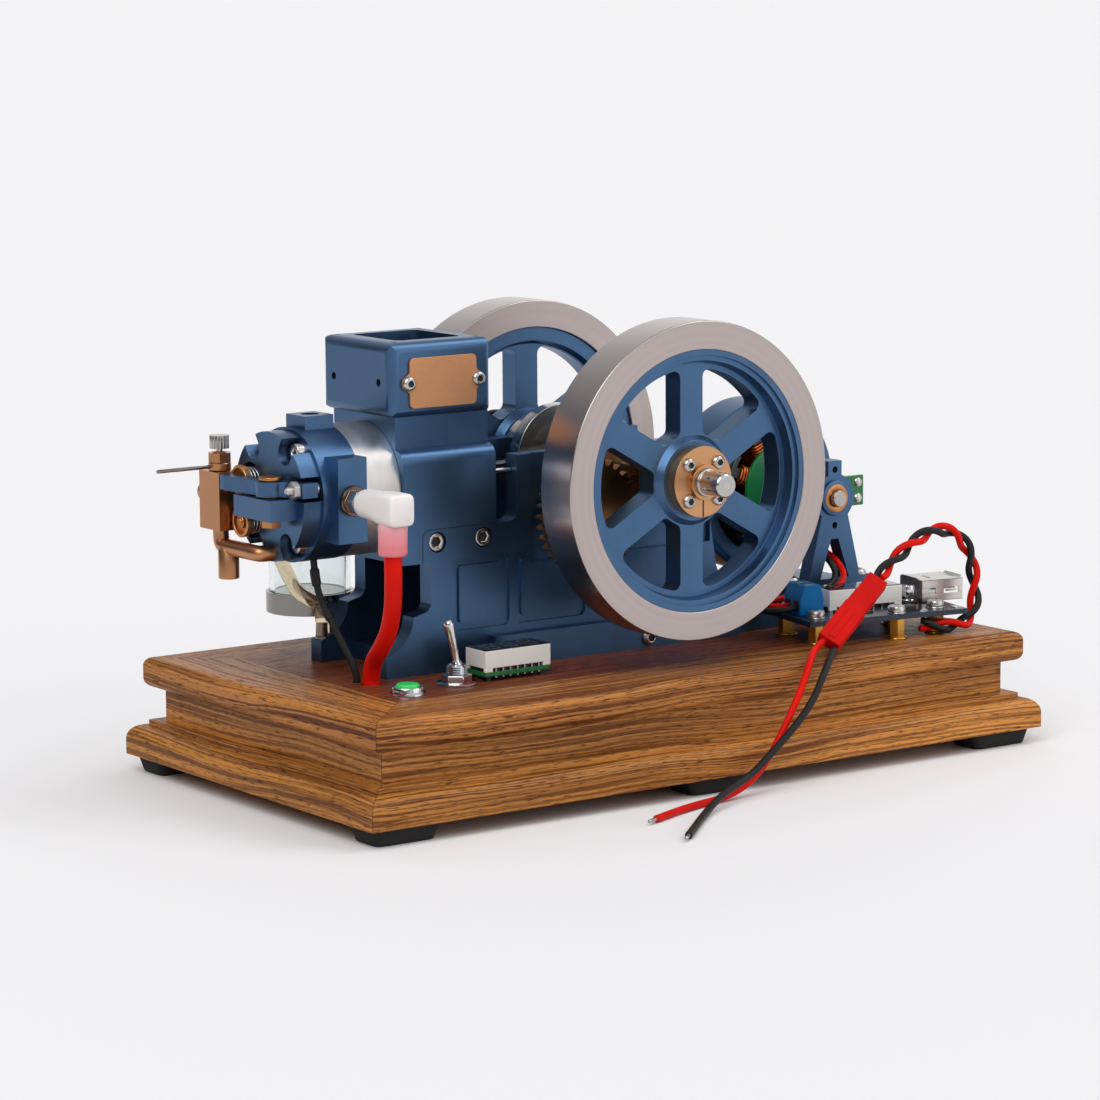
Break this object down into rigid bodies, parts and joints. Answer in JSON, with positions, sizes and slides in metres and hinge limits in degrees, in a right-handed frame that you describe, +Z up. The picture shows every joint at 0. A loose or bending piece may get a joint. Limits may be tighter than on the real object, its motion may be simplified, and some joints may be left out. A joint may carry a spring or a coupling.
{
  "type": "hit and miss engine",
  "caption": "Model hit and miss engine with twin flywheels, open crank, water hopper and belt-driven generator, on a moulded wooden plinth with a switch, meter and charger board.",
  "frame": {"origin": "on the floor under the middle of the whole object, from the choke lever tip to the generator end of the plinth", "axes": "+X from the cylinder head to the generator, +Y to the back, +Z up"},
  "size_m": [0.2496, 0.1752, 0.1341],
  "materials": {
    "wood_edge": "satin varnish over strong dark grain",
    "wood_inlay": "satin varnish, darker red-brown grain",
    "black_rubber": "matt",
    "blue_metal": "satin blue anodised",
    "bright_steel": "turned and polished",
    "bronze": "bright machined bronze",
    "brass": "bright machined",
    "clear_glass": "clear",
    "boot_white": "translucent soft plastic",
    "hose_tan": "translucent soft tube",
    "red_plastic": "satin silicone",
    "black_plastic": "satin",
    "white_plastic": "satin",
    "green_board": "solder mask",
    "blue_board": "solder mask",
    "blue_plastic": "satin",
    "copper_wire": "enamelled copper",
    "chrome": "plated",
    "green_lens": "lit translucent cap",
    "dark_iron": "laminated dark steel"
  },
  "bodies": {
    "base": {"plinth_base": "wood_edge", "plinth_top": "wood_edge", "plinth_inlay": "wood_inlay", "rubber_feet": "black_rubber", "bed_plate": "blue_metal", "front_side_plate": "blue_metal", "rear_side_plate": "blue_metal", "machine_screws": "bright_steel", "bearings": "bright_steel", "cylinder_block": "blue_metal", "cylinder_barrel": "bright_steel", "cylinder_head": "blue_metal", "head_cover": "blue_metal", "nameplate": "bronze", "carburettor": "brass", "fuel_cup": "clear_glass", "fuel_cup_caps": "bright_steel", "fuel_hose": "hose_tan", "spark_plug": "bright_steel", "plug_boot": "boot_white", "ignition_lead": "red_plastic", "sensor_lead": "black_plastic", "rocker_pivot": "bronze", "exhaust_spring": "bright_steel", "intake_spring": "bright_steel", "drive_belt": "black_rubber", "generator_stand": "blue_metal", "generator_stator": "dark_iron", "generator_coils": "copper_wire", "generator_board": "green_board", "toggle_switch": "chrome", "button_bezel": "chrome", "voltmeter": "white_plastic", "charger_board": "blue_board", "board_standoffs": "brass", "board_parts": "blue_plastic", "red_lead": "red_plastic", "black_lead": "black_plastic", "lead_connector": "red_plastic"},
    "crank": {"crankshaft": "bright_steel", "crank_gear": "bronze", "flywheel_rims": "bright_steel", "flywheel_spiders": "blue_metal", "flywheel_hubs": "bronze", "hub_screws": "bright_steel"},
    "cam": {"cam_gear": "bronze"},
    "rotor": {"generator_bell": "blue_metal", "generator_shaft": "bright_steel"},
    "piston": {"piston": "bright_steel"},
    "rod": {"connecting_rod": "bright_steel", "rod_pins": "bright_steel"},
    "rocker": {"rocker_arm": "blue_metal", "rocker_adjuster": "bright_steel"},
    "pushrod": {"pushrod": "bright_steel"},
    "exhaust_valve": {"exhaust_valve": "bronze"},
    "intake_valve": {"intake_valve": "bronze"},
    "needle": {"mixture_needle": "bright_steel"},
    "choke": {"choke_lever": "bright_steel"},
    "toggle": {"toggle_lever": "chrome"},
    "button": {"button_cap": "green_lens"}
  },
  "joints": [
    {"name": "crank_spin", "type": "hinge", "parent": "base", "child": "crank", "pos_m": [0.00525, 0, 0.0884], "axis": [0, 1, 0], "continuous": true},
    {"name": "cam_spin", "type": "hinge", "parent": "base", "child": "cam", "pos_m": [-0.01632, 0, 0.07788], "axis": [0, 1, 0], "continuous": true},
    {"name": "generator_spin", "type": "hinge", "parent": "base", "child": "rotor", "pos_m": [0.08895, 0, 0.0717], "axis": [0, 1, 0], "continuous": true},
    {"name": "piston_slide", "type": "slide", "parent": "base", "child": "piston", "axis": [1, 0, 0], "range_m": [-0.02, 0]},
    {"name": "rod_swing", "type": "hinge", "parent": "piston", "child": "rod", "pos_m": [-0.04272, 0.008, 0.0864], "axis": [0, 1, 0], "range_deg": [-9.9, 9.9]},
    {"name": "rocker_tilt", "type": "hinge", "parent": "base", "child": "rocker", "pos_m": [-0.10475, 0, 0.09], "axis": [0, 0, 1], "range_deg": [-6, 0]},
    {"name": "pushrod_slide", "type": "slide", "parent": "base", "child": "pushrod", "axis": [1, 0, 0], "range_m": [-0.000911, 0]},
    {"name": "exhaust_lift", "type": "slide", "parent": "base", "child": "exhaust_valve", "axis": [1, 0, 0], "range_m": [0, 0.00189], "deforming": ["exhaust_spring"]},
    {"name": "intake_lift", "type": "slide", "parent": "base", "child": "intake_valve", "axis": [1, 0, 0], "range_m": [0, 0.0018], "deforming": ["intake_spring"]},
    {"name": "needle_turn", "type": "hinge", "parent": "base", "child": "needle", "pos_m": [-0.10425, 0.0282, 0.092], "axis": [0, 0, 1], "range_deg": [-180, 180]},
    {"name": "choke_turn", "type": "hinge", "parent": "base", "child": "choke", "pos_m": [-0.10425, 0.0282, 0.092], "axis": [0, 0, 1], "range_deg": [-30, 30]},
    {"name": "toggle_throw", "type": "hinge", "parent": "base", "child": "toggle", "pos_m": [-0.06215, -0.0288, 0.0394], "axis": [0, 1, 0], "range_deg": [0, 24]},
    {"name": "button_press", "type": "slide", "parent": "base", "child": "button", "axis": [0, 0, 1], "range_m": [-0.0012, 0]}
  ],
  "couplings": [
    {"joint": "cam_spin", "follows": "crank_spin", "ratio": -0.5},
    {"joint": "generator_spin", "follows": "crank_spin", "ratio": 1.5},
    {"joint": "pushrod_slide", "follows": "rocker_tilt", "m_per_rad": 0.0086},
    {"joint": "exhaust_lift", "follows": "rocker_tilt", "m_per_rad": -0.018}
  ]
}
